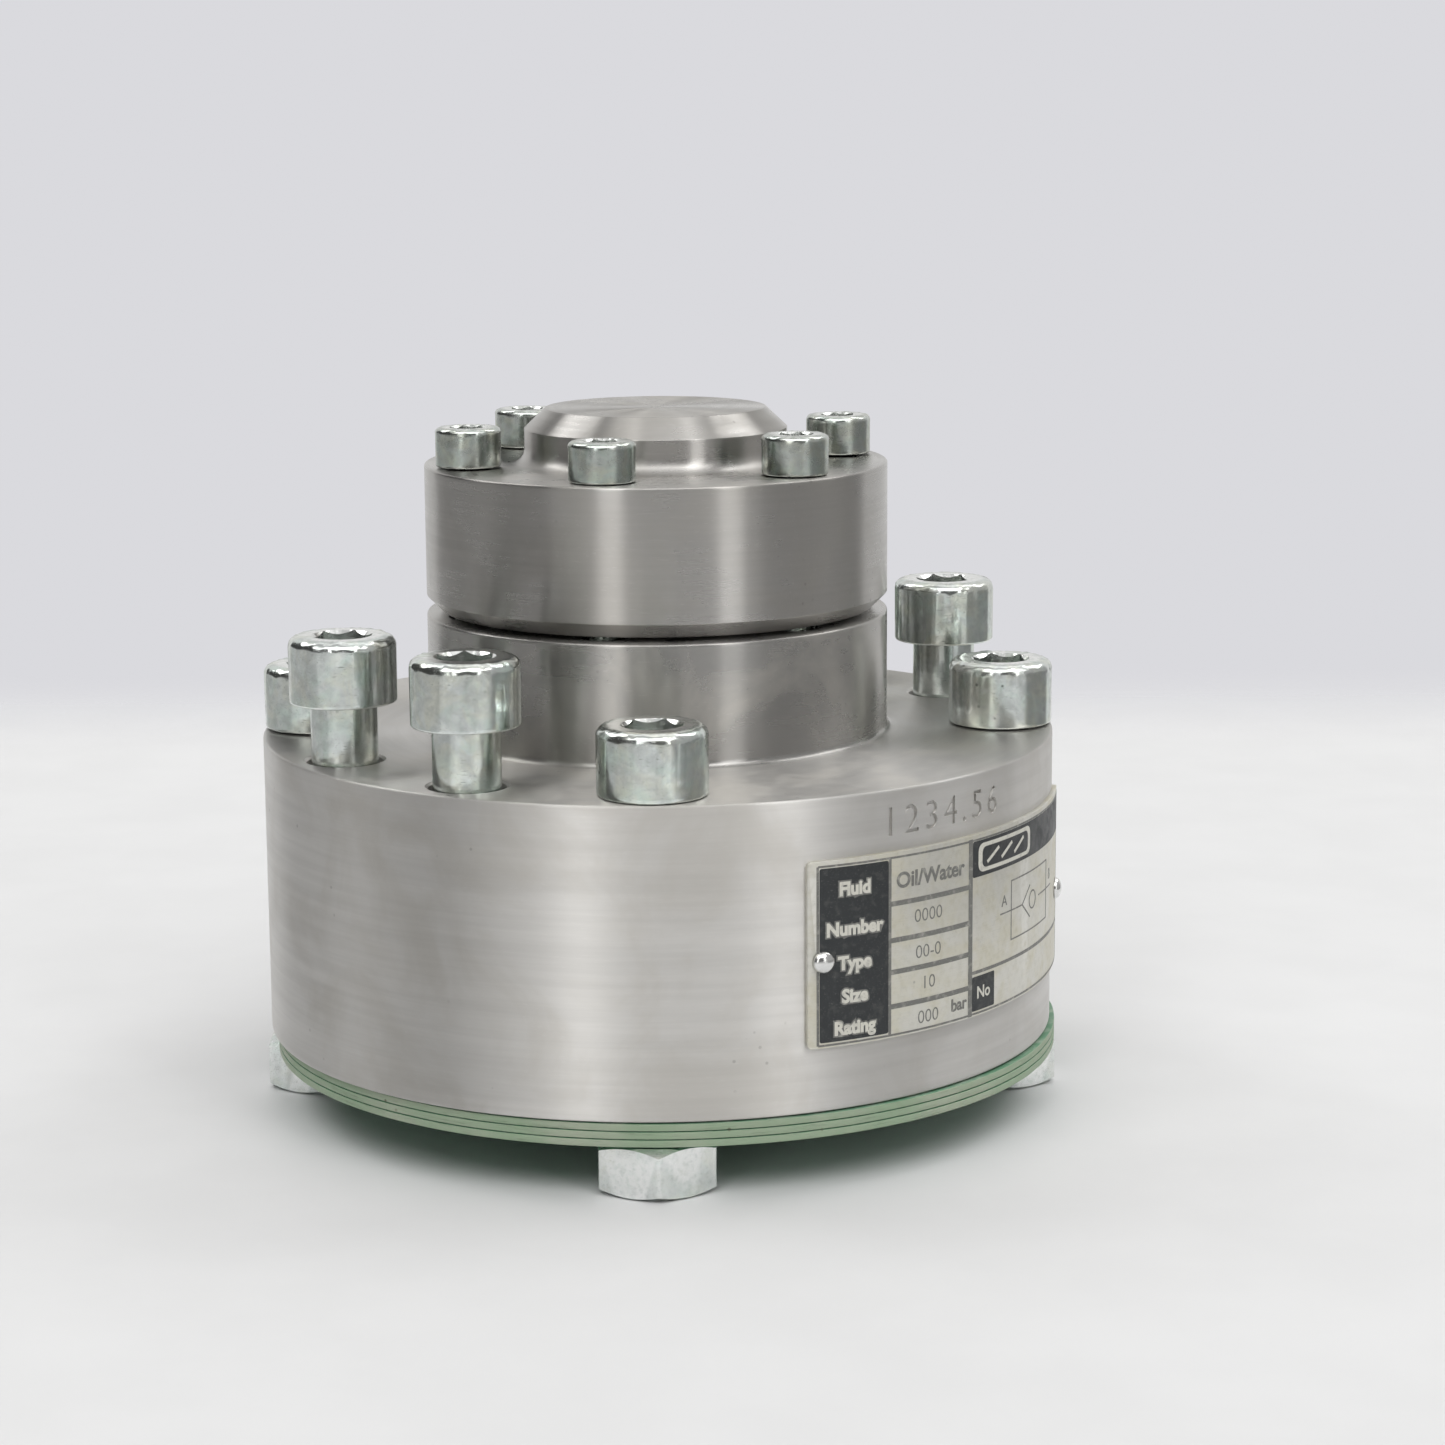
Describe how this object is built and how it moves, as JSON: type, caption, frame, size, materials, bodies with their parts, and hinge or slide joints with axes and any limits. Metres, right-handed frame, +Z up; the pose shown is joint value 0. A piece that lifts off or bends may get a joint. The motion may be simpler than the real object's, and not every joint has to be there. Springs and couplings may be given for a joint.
{
  "type": "check valve",
  "caption": "Round flange-mounted hydraulic check valve with a bolted top cover, a nameplate, loose mounting screws and green transport discs held by nuts.",
  "frame": {"origin": "on the valve's axis, in the plane that the four nuts stand on", "axes": "+Z up along the valve's axis, from the nuts to the boss; +X right and +Y back as seen from the front, where the nameplate is on the right"},
  "size_m": [0.1247, 0.1268, 0.1073],
  "materials": {
    "body_steel": "fine turned steel, satin",
    "cover_steel": "fine turned steel, darker satin",
    "bright_zinc": "bright zinc plating with a faint blue-green tint",
    "dull_zinc": "dull zinc plating",
    "green_disc": "pale green pressed sheet, matt",
    "plate_aluminium": "matt aluminium with black printed fields",
    "rivet_steel": "polished steel",
    "ground_steel": "ground and hardened steel",
    "spring_steel": "drawn spring steel wire",
    "seal_rubber": "black nitrile rubber",
    "backup_plastic": "white PTFE"
  },
  "bodies": {
    "valve": {"valve_body": "body_steel", "top_cover": "cover_steel", "flange_screw_1": "bright_zinc", "flange_screw_2": "bright_zinc", "flange_screw_3": "bright_zinc", "flange_screw_4": "bright_zinc", "cover_screw_1": "dull_zinc", "cover_screw_2": "dull_zinc", "cover_screw_3": "dull_zinc", "cover_screw_4": "dull_zinc", "cover_screw_5": "dull_zinc", "cover_screw_6": "dull_zinc", "hex_nut_1": "bright_zinc", "hex_nut_2": "bright_zinc", "hex_nut_3": "bright_zinc", "hex_nut_4": "bright_zinc", "protection_disc_1": "green_disc", "protection_disc_2": "green_disc", "protection_disc_3": "green_disc", "nameplate": "plate_aluminium", "nameplate_rivet_1": "rivet_steel", "nameplate_rivet_2": "rivet_steel", "seat_ring": "ground_steel", "guide_cage": "ground_steel", "spring": "spring_steel", "cover_o_ring": "seal_rubber", "seat_o_ring": "seal_rubber", "port_a_o_ring": "seal_rubber", "port_b_o_ring": "seal_rubber", "cover_backup_ring": "backup_plastic"},
    "poppet": {"poppet": "ground_steel"},
    "loose_screw_1": {"flange_screw_5": "bright_zinc"},
    "loose_screw_2": {"flange_screw_6": "bright_zinc"},
    "loose_screw_3": {"flange_screw_7": "bright_zinc"},
    "loose_screw_4": {"flange_screw_8": "bright_zinc"}
  },
  "joints": [
    {"name": "poppet_lift", "type": "slide", "parent": "valve", "child": "poppet", "axis": [0, 0, 1], "range_m": [0, 0.0045], "stiffness_N_per_m": 4000, "springref_m": -0.005, "deforming": ["spring"]},
    {"name": "loose_screw_1_pull", "type": "slide", "parent": "valve", "child": "loose_screw_1", "axis": [0, 0, 1], "range_m": [0, 0.05]},
    {"name": "loose_screw_2_pull", "type": "slide", "parent": "valve", "child": "loose_screw_2", "axis": [0, 0, 1], "range_m": [0, 0.05]},
    {"name": "loose_screw_3_pull", "type": "slide", "parent": "valve", "child": "loose_screw_3", "axis": [0, 0, 1], "range_m": [0, 0.05]},
    {"name": "loose_screw_4_pull", "type": "slide", "parent": "valve", "child": "loose_screw_4", "axis": [0, 0, 1], "range_m": [0, 0.05]}
  ]
}
